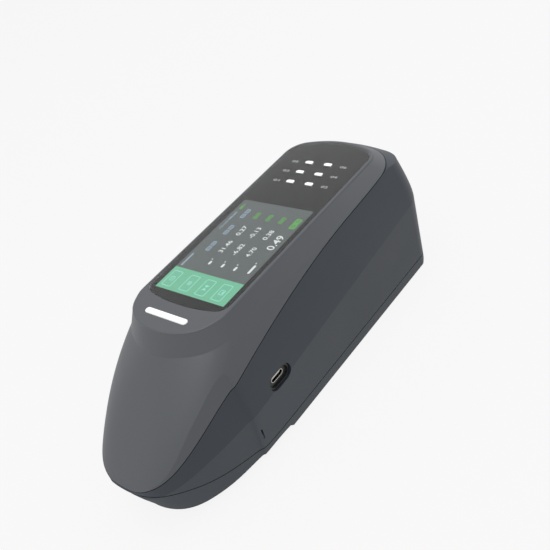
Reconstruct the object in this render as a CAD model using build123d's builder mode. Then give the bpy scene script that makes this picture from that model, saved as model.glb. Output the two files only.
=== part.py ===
from build123d import *
import math
import os

# Handheld spectrophotometer, long horizontal body, millimetres.
# Nose towards -Y, rear towards +Y, +Z up. Origin on the resting surface, at mid length.

# Overall form
HEIGHT = 84.0
WALL = 2.4
ROOF = 3.0

# Flat top, bounded by the lip: face arc and corner arcs at each end, straight sides
LIP_HALF = 30.2
LIP_NOSE_Y = -58.55
LIP_NOSE_FACE_R = 45.0
LIP_NOSE_CORNER_R = 22.0
LIP_REAR_Y = 100.85
LIP_REAR_FACE_R = 62.0
LIP_REAR_CORNER_R = 13.0
LIP_ROUND = 0.9

# Sloping skin of the upper shell: a crease below the lip, a belly, then down past the seam
CREASE_DEPTH = 10.0
BELLY_DEPTH = 26.0
FLARE_DEPTH = 54.0
NOSE_SHARES = (0.0, 1.0, 1.25, 1.5, 1.75, 2.0)
CREASE_OUT = (6.5, 5.4, 5.0, 4.6, 3.7, 2.78)
BELLY_OUT = (0.6, 3.1, 4.5, 4.1, 2.0, 0.0)
REAR_SHARES = (2.0, 1.5, 1.0, 0.0)
REAR_OUT = (62.0, 72.0, 75.0, 70.0)

# Parting line between the shells, as half width, length and height
SEAM_NOSE = (
    (0.0, -112.15, 31.3),
    (22.7, -102.2, 34.7),
    (29.0, -86.35, 40.9),
    (32.2, -71.35, 48.1),
    (34.9, -56.35, 54.1),
    (36.6, -35.04, 60.5),
)
SEAM_SIDE = ((36.6, 3.65, 69.3), (36.9, 43.65, 74.6), (37.4, 84.73, 77.8))
SEAM_REAR = ((97.0, 80.0), (106.0, 81.5), (125.0, 82.5))

# Seam of the bottom cover, and the shadow groove along both seams
LOW_SEAM = ((-120.0, 33.0), (-96.35, 22.4), (-85.35, 16.6), (-72.35, 12.3), (-58.35, 9.0))
LOW_SEAM_Z = 7.2
GROOVE_HEIGHT = 0.5
GROOVE_DEPTH = 0.9

# Side walls: widest at the waist, a plane that rises to the rear
WAIST_HALF = 38.0
WAIST_TIP_Y = -113.6
WAIST_NOSE = ((26.6, -97.1), (30.2, -86.1), (33.8, -71.35), (36.5, -56.35))
WAIST_SIDE_Y = -32.0
WAIST_REAR_Y = 113.6
WAIST_REAR_FACE_R = 260.0
WAIST_REAR_CORNER_R = 13.0
WAIST_HEIGHT = 37.0
WAIST_TILT = 5.33
LEAN_NOSE = 0.072
LEAN_REAR = 0.020
MIDDLE_HEIGHT = 66.0
MIDDLE_REAR_PULL = 3.1
TOP_REAR_PULL = 8.0
BASE_INSET = 4.0
BASE_NOSE_INSET = 1.0

# Underside seen from the side: flat rest, a step, then the toe that rises to the nose
STEP_Y = -34.0
STEP_RISE = 2.2
TOE = ((-66.0, 2.4), (-86.0, 3.8), (-100.0, 9.6), (-108.8, 22.0))
HEEL_Y = 101.0
HEEL_RISE = 9.5
FOOT_PROUD = 0.4
FLOOR_TOP = FOOT_PROUD + WALL

# Display stack
DISPLAY_Y = 3.65
GLASS_HALF = 28.2
GLASS_FRONT_Y = -40.15
GLASS_FRONT_FACE_R = 110.0
GLASS_FRONT_CORNER_R = 7.0
GLASS_REAR_Y = 98.45
GLASS_REAR_FACE_R = 60.0
GLASS_REAR_CORNER_R = 10.0
GLASS_THICK = 1.2
GLASS_GAP = 0.12
BOND = 0.1
MODULE_SIZE = (52.4, 77.0, 3.2)
MODULE_GAP = 0.25
MODULE_CORNER_R = 0.8
BRACKET_THICK = 1.5
BRACKET_END = 3.5
BRACKET_SIDE = 2.0
BRACKET_RAIL = 6.0
BRACKET_BAR = 8.0
BRACKET_PAD = 5.0

# Measure key: a lit bar in the flat top
KEY_Y = -48.55
KEY_LENGTH = 29.2
KEY_WIDTH = 3.4
KEY_PROUD = 0.6
KEY_TRAVEL = 0.6
KEY_GAP = 0.12
KEY_FLANGE = (31.2, 7.0, 1.4)
KEY_STOP = 0.2
KEY_EDGE_R = 0.4
KEY_STEM_R = 1.5
KEY_STEM = 2.0
SWITCH_SIZE = (6.0, 6.0, 2.1)
SWITCH_GAP = KEY_TRAVEL + KEY_STOP
SWITCH_PLUNGER = 0.6
KEY_BOARD_SIZE = (38.8, 8.0, 1.0)
KEY_POST_X = 17.9
KEY_POST_R = 1.5

# Six status windows
STATUS_X = 6.6
STATUS_Y = 69.35
STATUS_PITCH = 9.1
STATUS_SIZE = (5.4, 2.5)
STATUS_GAP = 0.06
STATUS_DEPTH = 3.8
STATUS_BOARD_SIZE = (24.0, 30.0, 1.0)
STATUS_LED_SIZE = (2.0, 1.2, 1.0)
STATUS_LED_GAP = 0.3
STATUS_POST_R = 2.0

# Charging port on the right side
USB_Y = -29.85
USB_Z = 37.0
USB_HOLE = (16.2, 9.7)
BEZEL_GAP = 0.1
BEZEL_OUT_X = 36.7
BEZEL_THICK = 3.0
BEZEL_DISH = (13.6, 7.2)
BEZEL_DISH_DEPTH = 1.2
SOCKET_SIZE = (8.94, 3.26)
SOCKET_LENGTH = 7.3
SOCKET_WALL = 0.3
SOCKET_GAP = 0.12
TONGUE_SIZE = (6.7, 0.7)
USB_BOARD_SIZE = (9.0, 14.0, 1.0)
SHELF_THICK = 3.0

# Power button on the left side
POWER_Y = 22.0
POWER_Z = 54.0
POWER_R = 4.4
POWER_GAP = 0.1
POWER_OUT_X = 38.0
POWER_IN_X = 33.0
POWER_FLANGE_R = 6.0
POWER_FLANGE_X = (34.3, 33.3)
POWER_TRAVEL = 0.5
POWER_SWITCH_GAP = POWER_TRAVEL + KEY_STOP
POWER_SWITCH_SIDE = 6.0
POWER_EDGE_R = 0.5

# Inner frame and boards
FRAME_Z = 48.0
FRAME_THICK = 2.0
FRAME_HALF = 28.8
FRAME_Y = (-20.0, 96.0)
LEG_R = 3.2
LEG_X = 25.8
LEG_Y = (-6.0, 93.0)
STANDOFF_HEIGHT = 3.0
STANDOFF_R = 2.4
STANDOFF_X = 22.5
STANDOFF_Y = (-4.0, 88.0)
BOARD_THICK = 1.6
BOARD_HALF = 26.0
BOARD_Y = (-8.0, 92.0)
RADIO_AT = (12.0, 74.0)
RADIO_SIZE = (13.0, 18.0, 2.4)
BUZZER_AT = (-13.0, 72.0)
BUZZER_R = 6.0
BUZZER_TALL = 5.0
BUZZER_HOLE_R = 1.0
BUZZER_HOLE_DEPTH = 1.5
CABLE_FROM_END = 12.0
CABLE_WIDTH = 16.0
CABLE_THICK = 0.4
CABLE_PLUG = (18.0, 4.0, 2.0)

# Battery under the frame, reached through a hatch
HATCH_Y = 45.0
HATCH_SIZE = (46.0, 76.0)
HATCH_LEDGE = 2.0
HATCH_GAP = 0.15
HATCH_FLANGE = 1.1
BATTERY_SIZE = (39.0, 68.0, 19.0)
BATTERY_RIB = 1.5
BATTERY_RIB_HEIGHT = 10.0

# Measuring head
PORT_Y = -51.85
PORT_R = 4.0
PORT_RING_R = 15.0
PORT_RING_TOP = 6.4
PORT_SEAT_R = 18.0
SPHERE_R = 19.0
SPHERE_BLOCK_R = 23.0
SPHERE_FLOOR = 2.0
SPHERE_TOP = 50.0
SPHERE_PORT_R = 6.0
VIEW_TILT = 8.0
VIEW_R = 3.6
LAMP_COUNT = 6
LAMP_RING_R = 16.0
LAMP_R = 2.5
LAMP_DEPTH = 5.0
LAMP_BOARD_THICK = 1.2
BARREL_R = 5.6
SPECTRO_SIZE = (38.0, 40.0, 12.0)
SPECTRO_Y = -31.0
SPECTRO_Z = 60.0
SPECTRO_WALL = 1.5
GRATING_X = 4.0
GRATING_SIZE = (12.0, 4.0, 8.0)
GRATING_TURN = 12
SENSOR_BOARD_SIZE = (1.6, 24.0, 7.5)
SENSOR_SIZE = (2.0, 16.0)
SENSOR_BOARD_IN = 1.0
PILLAR_X = 14.0
PILLAR_Y = -15.5
PILLAR_R = 3.0

# Fasteners
SCREW_R = 1.2
SCREW_HEAD_R = 2.4
SCREW_HEAD = 1.6
SCREW_GAP = 0.06
BOSS_R = 3.4
SHELL_BOSSES = ((28.6, 72.0, 64.0), (27.0, -69.5, 44.0))
COVER_BOSSES = ((28.4, 84.0), (28.4, 12.0), (23.6, -78.0))
COVER_BOSS_TOP = 22.0
LUG_THICK = 4.0
FOOT_R = 5.0
FOOT_THICK = 1.6
FOOT_X = 22.0
FOOT_Y = (-27.0, 97.5)
INDEX_MARK = (1.0, 7.0, 0.5)
INDEX_Z = 17.5


def end_arcs(tip_y, face_r, corner_r, half, facing):
    """Corner centre x, face centre y, corner centre y and the turn at which the arcs meet."""
    corner_x = half - corner_r
    face_y = tip_y - facing * face_r
    rise = math.sqrt((face_r - corner_r) ** 2 - corner_x**2)
    return corner_x, face_y, face_y + facing * rise, math.atan2(corner_x, rise)


def end_point(tip_y, face_r, corner_r, half, facing, share):
    """Point and outward normal on an end: share 0 is the tip, 1 the arcs' joint, 2 the side."""
    corner_x, face_y, corner_y, turn = end_arcs(tip_y, face_r, corner_r, half, facing)
    if share <= 1:
        angle = turn * share
        x, y = face_r * math.sin(angle), face_y + facing * face_r * math.cos(angle)
    else:
        angle = turn + (math.pi / 2 - turn) * (share - 1)
        x, y = corner_x + corner_r * math.sin(angle), corner_y + facing * corner_r * math.cos(angle)
    return x, y, math.sin(angle), facing * math.cos(angle)


def moved_in(points, insets):
    """Half outline from the tip to the side, moved inwards by one inset for each point."""
    moved = []
    for i, (x, y) in enumerate(points):
        before = points[i - 1] if i > 0 else (-points[1][0], points[1][1])
        after = points[i + 1] if i < len(points) - 1 else (x, 2 * y - points[i - 1][1])
        back, ahead = math.dist(before, (x, y)), math.dist(after, (x, y))
        dx = (x - before[0]) / back * ahead + (after[0] - x) / ahead * back
        dy = (y - before[1]) / back * ahead + (after[1] - y) / ahead * back
        run = math.hypot(dx, dy)
        moved.append((x - insets[i] * dy / run, y + insets[i] * dx / run))
    return moved


def between(first, second, share):
    """Point a share of the way from one plan point to another."""
    return first[0] + (second[0] - first[0]) * share, first[1] + (second[1] - first[1]) * share


def skin_levels(inset):
    """Lip, crease, belly and flare half outlines of the upper skin, moved in by inset."""
    nose_end = (LIP_NOSE_Y, LIP_NOSE_FACE_R, LIP_NOSE_CORNER_R, LIP_HALF, -1)
    rear_end = (LIP_REAR_Y, LIP_REAR_FACE_R, LIP_REAR_CORNER_R, LIP_HALF, 1)
    crease_share = CREASE_DEPTH / FLARE_DEPTH
    belly_share = (BELLY_DEPTH - CREASE_DEPTH) / (FLARE_DEPTH - CREASE_DEPTH)
    stations = []
    for share, out, swell, seam in zip(NOSE_SHARES, CREASE_OUT, BELLY_OUT, SEAM_NOSE):
        x, y, nx, ny = end_point(*nose_end, share)
        fold = (x + nx * out, y + ny * out)
        drop = (FLARE_DEPTH - CREASE_DEPTH) / (HEIGHT - CREASE_DEPTH - seam[2])
        foot = between(fold, seam[:2], drop)
        middle = between(fold, foot, belly_share)
        middle = (middle[0] + nx * swell, middle[1] + ny * swell)
        stations.append(((nx, ny), (x, y), fold, middle, foot))
    for half, y, z in SEAM_SIDE[:-1]:
        foot = (LIP_HALF + (half - LIP_HALF) * FLARE_DEPTH / (HEIGHT - z), y)
        fold = between((LIP_HALF, y), foot, crease_share)
        stations.append(((1, 0), (LIP_HALF, y), fold, between(fold, foot, belly_share), foot))
    for share, out in zip(REAR_SHARES, REAR_OUT):
        x, y, nx, ny = end_point(*rear_end, share)
        foot = (x + nx * out, y + ny * out)
        fold = between((x, y), foot, crease_share)
        stations.append(((nx, ny), (x, y), fold, between(fold, foot, belly_share), foot))
    return [
        [(s[level][0] - s[0][0] * inset, s[level][1] - s[0][1] * inset) for s in stations]
        for level in (1, 2, 3, 4)
    ]


def wall_inset(y, height, inset, extra_nose):
    """How far the side wall lies inside the waist outline; no height is the waist itself."""
    along = (y - WAIST_TIP_Y) / (WAIST_REAR_Y - WAIST_TIP_Y)
    lean = LEAN_NOSE + (LEAN_REAR - LEAN_NOSE) * along
    waist = WAIST_HEIGHT + y * math.tan(math.radians(WAIST_TILT))
    rise = 0.0 if height is None else max(height - waist, 0.0)
    return inset + rise * lean + extra_nose * (1 - along)


def wall_level(height, inset, rear_pull, extra_nose=0.0):
    """Half outline of the side walls at a height, None for the waist itself."""
    nose = [(0.0, WAIST_TIP_Y), *WAIST_NOSE, (WAIST_HALF, WAIST_SIDE_Y)]
    points = moved_in(nose, [wall_inset(y, height, inset, extra_nose) for x, y in nose])
    rear_y = WAIST_REAR_Y - rear_pull
    for share in REAR_SHARES:
        nominal = (rear_y, WAIST_REAR_FACE_R, WAIST_REAR_CORNER_R, WAIST_HALF)
        own = wall_inset(end_point(*nominal, 1, share)[1], height, inset, extra_nose)
        points.append(end_point(*[value - own for value in nominal], 1, share)[:2])
    return points


def outline(plane, points, side_from, side_to):
    """Closed face from a half outline: nose run, side run and rear run, mirrored."""
    side = points[side_from : side_to + 1]
    lead = (side[1][0] - side[0][0], side[1][1] - side[0][1])
    trail = (side[-1][0] - side[-2][0], side[-1][1] - side[-2][1])
    if len(side) > 2:
        after = (side[2][0] - side[1][0], side[2][1] - side[1][1])
        before = (side[-2][0] - side[-3][0], side[-2][1] - side[-3][1])
        lead = between(after, lead, 1.5)
        trail = between(before, trail, 1.5)
    with BuildSketch(plane) as face:
        with BuildLine():
            Spline(*points[: side_from + 1], tangents=[(1, 0), lead])
            if len(side) > 2:
                Spline(*side, tangents=[lead, trail])
            else:
                Line(*side)
            ThreePointArc(*points[side_to : side_to + 3])
            TangentArc(points[-1], points[-2], tangent=(1, 0))
            mirror(about=Plane.YZ)
        make_face()
    return face.sketch


def body_form(inset, floor, roof_drop):
    """Solid inside the outer skin: moved in by inset, up from the floor, down from the top."""
    lip, crease, belly, flare = skin_levels(inset)
    skin_side = (len(SEAM_NOSE) - 1, len(SEAM_NOSE) - 1 + len(SEAM_SIDE))
    wall_side = (len(WAIST_NOSE) + 1, len(WAIST_NOSE) + 2)
    top = HEIGHT - roof_drop
    soft = 0.29 * LIP_ROUND
    rim = (
        (top, skin_levels(inset + LIP_ROUND)[0]),
        (top - soft, skin_levels(inset + soft)[0]),
        (top - LIP_ROUND, lip),
        (top - CREASE_DEPTH, crease),
    )
    slope = ((top - CREASE_DEPTH, crease), (top - BELLY_DEPTH, belly), (top - FLARE_DEPTH, flare))
    rim_faces = [outline(Plane.XY.offset(z), run, *skin_side) for z, run in rim]
    slope_faces = [outline(Plane.XY.offset(z), run, *skin_side) for z, run in slope]
    with BuildPart() as skin:
        loft(sections=rim_faces, ruled=True)
        loft(sections=slope_faces)
        extrude(to_extrude=slope_faces[-1], amount=-(top - FLARE_DEPTH + HEIGHT))

    tilt = math.radians(WAIST_TILT)
    tilted = Plane((0, 0, WAIST_HEIGHT), (1, 0, 0), (0, -math.sin(tilt), math.cos(tilt)))
    base_run = wall_level(None, inset + BASE_INSET, 0.0, BASE_NOSE_INSET)
    middle_run = wall_level(MIDDLE_HEIGHT, inset, MIDDLE_REAR_PULL)
    top_run = wall_level(HEIGHT, inset, TOP_REAR_PULL)
    base = outline(Plane.XY, base_run, *wall_side)
    waist = outline(tilted, wall_level(None, inset, 0.0), *wall_side)
    middle = outline(Plane.XY.offset(MIDDLE_HEIGHT), middle_run, *wall_side)
    over = outline(Plane.XY.offset(HEIGHT), top_run, *wall_side)
    with BuildPart() as walls:
        loft(sections=[base, waist], ruled=True)
        loft(sections=[waist, middle, over])

    far = HEIGHT * 2
    chin_y, chin_z = TOE[-1][0] + inset, TOE[-1][1] + floor
    with BuildPart() as profile:
        with BuildSketch(Plane.YZ):
            with BuildLine():
                Spline(
                    (chin_y, chin_z),
                    *[(y, z + floor) for y, z in reversed(TOE[:-1])],
                    (STEP_Y, STEP_RISE + floor),
                )
                Polyline(
                    (STEP_Y, STEP_RISE + floor),
                    (STEP_Y + STEP_RISE, floor),
                    (HEEL_Y, floor),
                    (HEEL_Y + HEEL_RISE, floor + HEEL_RISE),
                    (far, floor + HEEL_RISE),
                    (far, HEIGHT),
                    (-far, HEIGHT),
                    (-far, chin_z + HEEL_RISE),
                    (chin_y - HEEL_RISE / 2, chin_z + HEEL_RISE),
                    (chin_y, chin_z),
                )
            make_face()
        extrude(amount=WAIST_HALF * 2, both=True)
    return skin.part & walls.part & profile.part




def side_region(edge, over, width=HEIGHT):
    """Slab across the body, above an edge curve given as length and height, or below it."""
    far = HEIGHT * 2 if over else -HEIGHT
    with BuildPart() as region:
        with BuildSketch(Plane.YZ):
            with BuildLine():
                Spline(*edge)
                Polyline(edge[-1], (edge[-1][0], far), (edge[0][0], far), edge[0])
            make_face()
        extrude(amount=width, both=True)
    return region.part


def lowered(edge, drop):
    """The same edge curve, lower by drop."""
    return [(y, z - drop) for y, z in edge]


def low_region(drop, over):
    """Slab above or below the bottom cover's seam."""
    far = HEIGHT * 2 if over else -HEIGHT
    curve = lowered(LOW_SEAM, drop)
    flat = (STEP_Y, LOW_SEAM_Z - drop)
    with BuildPart() as region:
        with BuildSketch(Plane.YZ):
            with BuildLine():
                Spline(*curve, flat, tangents=[(1, -0.4), (1, 0)])
                Polyline(flat, (far_rear, flat[1]), (far_rear, far), (curve[0][0], far), curve[0])
            make_face()
        extrude(amount=HEIGHT, both=True)
    return region.part


def glass_outline(plane, inset):
    """Outline of the display glass, moved in by inset."""
    half = GLASS_HALF - inset
    front = (GLASS_FRONT_Y + inset, GLASS_FRONT_FACE_R, GLASS_FRONT_CORNER_R - inset, half, -1)
    rear = (GLASS_REAR_Y - inset, GLASS_REAR_FACE_R, GLASS_REAR_CORNER_R - inset, half, 1)
    f = [end_point(*front, share)[:2] for share in (0.0, 1.0, 1.5, 2.0)]
    r = [end_point(*rear, share)[:2] for share in (2.0, 1.5, 1.0, 0.0)]
    front_left = (-f[1][0], f[1][1])
    rear_left = (-r[2][0], r[2][1])
    with BuildSketch(plane) as face:
        with BuildLine():
            ThreePointArc(front_left, f[0], f[1])
            ThreePointArc(f[1], f[2], f[3])
            Line(f[3], r[0])
            ThreePointArc(r[0], r[1], r[2])
            ThreePointArc(r[2], r[3], rear_left)
            ThreePointArc(rear_left, (-r[1][0], r[1][1]), (-r[0][0], r[0][1]))
            Line((-r[0][0], r[0][1]), (-f[3][0], f[3][1]))
            ThreePointArc((-f[3][0], f[3][1]), (-f[2][0], f[2][1]), front_left)
        make_face()
    return face.sketch


def both_sides(spots):
    """Plan points on the right, and the same on the left."""
    return [(sign * x, y) for x, y in spots for sign in (1, -1)]


far_rear = HEIGHT * 2
seam_curve = [(y, z) for x, y, z in SEAM_NOSE + SEAM_SIDE] + list(SEAM_REAR)
seam_curve = [(-HEIGHT * 1.6, SEAM_NOSE[0][2] - 6.0)] + seam_curve
outer_form = body_form(0.0, FOOT_PROUD, 0.0)
groove_form = body_form(GROOVE_DEPTH, FOOT_PROUD, GROOVE_DEPTH)
inner_form = body_form(WALL, FLOOR_TOP, ROOF)
rim_skin = outer_form - groove_form
shell_form = outer_form - inner_form
above_seam = side_region(seam_curve, True)
below_seam = side_region(seam_curve, False)
above_low = low_region(0.0, True)
below_low = low_region(0.0, False)
seam_groove = (side_region(lowered(seam_curve, GROOVE_HEIGHT), True) & below_seam) & rim_skin
low_groove = (low_region(GROOVE_HEIGHT, True) & below_low) & rim_skin

os.makedirs("parts", exist_ok=True)
finished = []

# Derived heights and places
roof_under = HEIGHT - ROOF
glass_seat = HEIGHT - GLASS_THICK - BOND
key_top = HEIGHT + KEY_PROUD
flange_top = roof_under - KEY_STOP
flange_under = flange_top - KEY_FLANGE[2]
stem_end = flange_under - KEY_STEM
switch_top = stem_end - SWITCH_GAP
key_board_top = switch_top - SWITCH_SIZE[2]
key_board_under = key_board_top - KEY_BOARD_SIZE[2]
module_top = HEIGHT - GLASS_THICK - BOND
module_under = module_top - MODULE_SIZE[2]
bracket_under = module_under - BRACKET_THICK
window_under = HEIGHT - STATUS_DEPTH
status_led_top = window_under - STATUS_LED_GAP
status_board_top = status_led_top - STATUS_LED_SIZE[2]
frame_top = FRAME_Z + FRAME_THICK
board_under = frame_top + STANDOFF_HEIGHT
board_top = board_under + BOARD_THICK
battery_top = FLOOR_TOP + BATTERY_SIZE[2]
sphere_bottom = PORT_RING_TOP
sphere_middle = sphere_bottom + SPHERE_FLOOR + SPHERE_R
lamp_board_top = SPHERE_TOP + LAMP_BOARD_THICK
view_axis = math.radians(VIEW_TILT)
view_plane = Plane((0, PORT_Y, 0), (1, 0, 0), (0, math.sin(view_axis), math.cos(view_axis)))
spectro_top = SPECTRO_Z + SPECTRO_SIZE[2]
status_spots = [
    (side * STATUS_X, STATUS_Y + row * STATUS_PITCH) for row in (-1, 0, 1) for side in (1, -1)
]
usb_plane = Plane((0, USB_Y, USB_Z), (0, 1, 0), (1, 0, 0))
power_plane = Plane((0, POWER_Y, POWER_Z), (0, 1, 0), (-1, 0, 0))
leg_spots = both_sides([(LEG_X, y) for y in LEG_Y])
standoff_spots = both_sides([(STANDOFF_X, y) for y in STANDOFF_Y])
cover_spots = both_sides(COVER_BOSSES)
screw_hole_r = SCREW_R + SCREW_GAP
index_x = WAIST_HALF

# Bosses inside the shells, trimmed to the inner form grown into the wall
boss_room = body_form(WALL / 2, FOOT_PROUD + WALL / 2, ROOF / 2)
with BuildPart() as upper_posts:
    for x, y, z in SHELL_BOSSES:
        with BuildSketch(Plane.XY.offset(z)):
            with Locations((x, y), (-x, y)):
                Circle(BOSS_R)
        extrude(amount=HEIGHT - z)
upper_bosses = upper_posts.part & boss_room
with BuildPart() as lower_posts:
    with BuildSketch():
        with Locations(*cover_spots):
            Circle(BOSS_R)
        with Locations(*both_sides([(x + 2 * BOSS_R, y) for x, y in COVER_BOSSES])):
            Rectangle(4 * BOSS_R, WALL)
    extrude(amount=COVER_BOSS_TOP)
    for x, y, z in SHELL_BOSSES:
        with BuildSketch(Plane.XY.offset(z - LUG_THICK)):
            with Locations((x, y), (-x, y)):
                Circle(BOSS_R)
            with Locations((x + 2 * BOSS_R, y), (-x - 2 * BOSS_R, y)):
                Rectangle(4 * BOSS_R, 2 * BOSS_R)
        extrude(amount=LUG_THICK)
    with BuildSketch(Plane.XY.offset(USB_Z - SOCKET_SIZE[1] / 2 - USB_BOARD_SIZE[2] - SHELF_THICK)):
        with Locations((WAIST_HALF - 4.5, USB_Y)):
            Rectangle(9.0, USB_BOARD_SIZE[1] - 1.0)
    extrude(amount=SHELF_THICK)
lower_bosses = lower_posts.part & boss_room & above_low & below_seam

# Upper shell: roof, nose and sloping sides
with BuildPart() as upper_shell:
    add(shell_form & above_seam)
    add(upper_bosses)
    with BuildSketch(Plane.XY.offset(glass_seat)):
        add(glass_outline(Plane.XY, -GLASS_GAP))
    extrude(amount=HEIGHT - glass_seat, mode=Mode.SUBTRACT)
    with BuildSketch(Plane.XY.offset(roof_under - LIP_ROUND)):
        with Locations((0, DISPLAY_Y)):
            Rectangle(MODULE_SIZE[0] + 2 * MODULE_GAP, MODULE_SIZE[1] + 2 * MODULE_GAP)
    extrude(amount=ROOF + LIP_ROUND, mode=Mode.SUBTRACT)
    with BuildSketch(Plane.XY.offset(roof_under - LIP_ROUND)):
        with Locations((0, KEY_Y)):
            SlotOverall(KEY_LENGTH + 2 * KEY_GAP, KEY_WIDTH + 2 * KEY_GAP)
        with Locations(*status_spots):
            SlotOverall(STATUS_SIZE[0] + 2 * STATUS_GAP, STATUS_SIZE[1] + 2 * STATUS_GAP)
    extrude(amount=ROOF + LIP_ROUND, mode=Mode.SUBTRACT)
    with BuildSketch(Plane.XY.offset(key_board_top)):
        with Locations((KEY_POST_X, KEY_Y), (-KEY_POST_X, KEY_Y)):
            Circle(KEY_POST_R)
    extrude(amount=roof_under + BOND - key_board_top)
    with BuildSketch(Plane.XY.offset(status_board_top)):
        with Locations((0, STATUS_Y - STATUS_PITCH / 2), (0, STATUS_Y + STATUS_PITCH / 2)):
            Circle(STATUS_POST_R)
    extrude(amount=roof_under + BOND - status_board_top)
    for x, y, z in SHELL_BOSSES:
        with Locations((x, y, z), (-x, y, z)):
            Cylinder(screw_hole_r, 16.0, mode=Mode.SUBTRACT)
finished.append(("upper_shell", upper_shell))

# Lower shell: side walls and rear, with the charging port and the power button
with BuildPart() as lower_shell:
    add((shell_form & below_seam & above_low) - seam_groove)
    add(lower_bosses)
    with BuildSketch(usb_plane.offset(BEZEL_OUT_X - BEZEL_THICK - 1.0)):
        SlotOverall(*USB_HOLE)
    extrude(amount=WAIST_HALF, mode=Mode.SUBTRACT)
    with BuildSketch(power_plane.offset(POWER_IN_X)):
        Circle(POWER_R + POWER_GAP)
    extrude(amount=WAIST_HALF, mode=Mode.SUBTRACT)
    with Locations((index_x, PORT_Y, INDEX_Z), (-index_x, PORT_Y, INDEX_Z)):
        Box(WAIST_HALF / 6, INDEX_MARK[0], INDEX_MARK[1], mode=Mode.SUBTRACT)
    for x, y, z in SHELL_BOSSES:
        with Locations((x, y, z), (-x, y, z)):
            Cylinder(screw_hole_r, 3 * LUG_THICK, mode=Mode.SUBTRACT)
    with BuildSketch(Plane.XY):
        with Locations(*cover_spots):
            Circle(screw_hole_r)
    extrude(amount=COVER_BOSS_TOP - 3.0, mode=Mode.SUBTRACT)
finished.append(("lower_shell", lower_shell))

# Bottom cover: tray with the port seat, battery bay, feet pockets and screw posts
with BuildPart() as cover_posts:
    with BuildSketch():
        with Locations(*cover_spots):
            Circle(BOSS_R)
        with Locations((0, PORT_Y)):
            Circle(PORT_SEAT_R)
    extrude(amount=PORT_RING_TOP)
    with BuildSketch():
        with Locations(*cover_spots):
            Circle(BOSS_R)
    extrude(amount=2 * COVER_BOSS_TOP)
cover_bosses = cover_posts.part & boss_room & below_low
with BuildPart() as bottom_cover:
    add((shell_form & below_low) - low_groove)
    add(cover_bosses)
    rib_x = HATCH_SIZE[0] / 2 - HATCH_LEDGE + BATTERY_RIB / 2
    with BuildSketch(Plane.XY.offset(FLOOR_TOP - BOND)):
        with Locations((rib_x, HATCH_Y), (-rib_x, HATCH_Y)):
            Rectangle(BATTERY_RIB, HATCH_SIZE[1] - 4 * HATCH_LEDGE)
    extrude(amount=BATTERY_RIB_HEIGHT)
    with BuildSketch():
        with Locations((0, HATCH_Y)):
            Rectangle(*HATCH_SIZE)
    extrude(amount=FOOT_PROUD + HATCH_FLANGE, mode=Mode.SUBTRACT)
    with BuildSketch():
        with Locations((0, HATCH_Y)):
            Rectangle(HATCH_SIZE[0] - 2 * HATCH_LEDGE, HATCH_SIZE[1] - 2 * HATCH_LEDGE)
        with Locations((0, PORT_Y)):
            Circle(PORT_RING_R + 2 * SCREW_GAP)
    extrude(amount=FLOOR_TOP + BOND, mode=Mode.SUBTRACT)
    with BuildSketch():
        with Locations((0, PORT_Y)):
            Circle(PORT_RING_R + 2 * SCREW_GAP)
    extrude(amount=PORT_RING_TOP, mode=Mode.SUBTRACT)
    with BuildSketch():
        with Locations(*both_sides([(FOOT_X, y) for y in FOOT_Y])):
            Circle(FOOT_R + SCREW_GAP)
    extrude(amount=FOOT_THICK, mode=Mode.SUBTRACT)
    with BuildSketch():
        with Locations(*cover_spots):
            Circle(screw_hole_r)
    extrude(amount=COVER_BOSS_TOP, mode=Mode.SUBTRACT)
    with BuildSketch():
        with Locations(*cover_spots):
            Circle(SCREW_HEAD_R + SCREW_GAP)
    extrude(amount=FLOOR_TOP + SCREW_HEAD + SCREW_GAP, mode=Mode.SUBTRACT)
finished.append(("bottom_cover", bottom_cover))

# Display glass over module and status windows
with BuildPart() as screen_glass:
    with BuildSketch(Plane.XY.offset(HEIGHT - GLASS_THICK)):
        add(glass_outline(Plane.XY, 0.0))
        with Locations(*status_spots):
            SlotOverall(
                STATUS_SIZE[0] + 2 * STATUS_GAP, STATUS_SIZE[1] + 2 * STATUS_GAP, mode=Mode.SUBTRACT
            )
    extrude(amount=GLASS_THICK)
finished.append(("screen_glass", screen_glass))

with BuildPart() as display_module:
    with BuildSketch(Plane.XY.offset(module_under)):
        with Locations((0, DISPLAY_Y)):
            Rectangle(MODULE_SIZE[0], MODULE_SIZE[1])
    extrude(amount=MODULE_SIZE[2])
    fillet(display_module.edges().filter_by(Axis.Z), MODULE_CORNER_R)
finished.append(("display_module", display_module))

# Bracket that carries the module and bears on the roof at both ends
bracket_length = MODULE_SIZE[1] + 2 * MODULE_GAP + 2 * BRACKET_END
bracket_width = MODULE_SIZE[0] - 2 * BRACKET_SIDE
with BuildPart() as display_bracket:
    with BuildSketch(Plane.XY.offset(bracket_under)):
        with Locations((0, DISPLAY_Y)):
            Rectangle(bracket_width, bracket_length)
            Rectangle(
                bracket_width - 2 * BRACKET_RAIL, MODULE_SIZE[1] - 2 * BRACKET_BAR, mode=Mode.SUBTRACT
            )
    extrude(amount=BRACKET_THICK)
    end_y = (bracket_length - BRACKET_END) / 2 + BOND
    with BuildSketch(Plane.XY.offset(module_under)):
        with Locations((0, DISPLAY_Y - end_y), (0, DISPLAY_Y + end_y)):
            Rectangle(bracket_width - 2 * BRACKET_PAD, BRACKET_END - 2 * BOND)
    extrude(amount=roof_under - module_under)
finished.append(("display_bracket", display_bracket))

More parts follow.
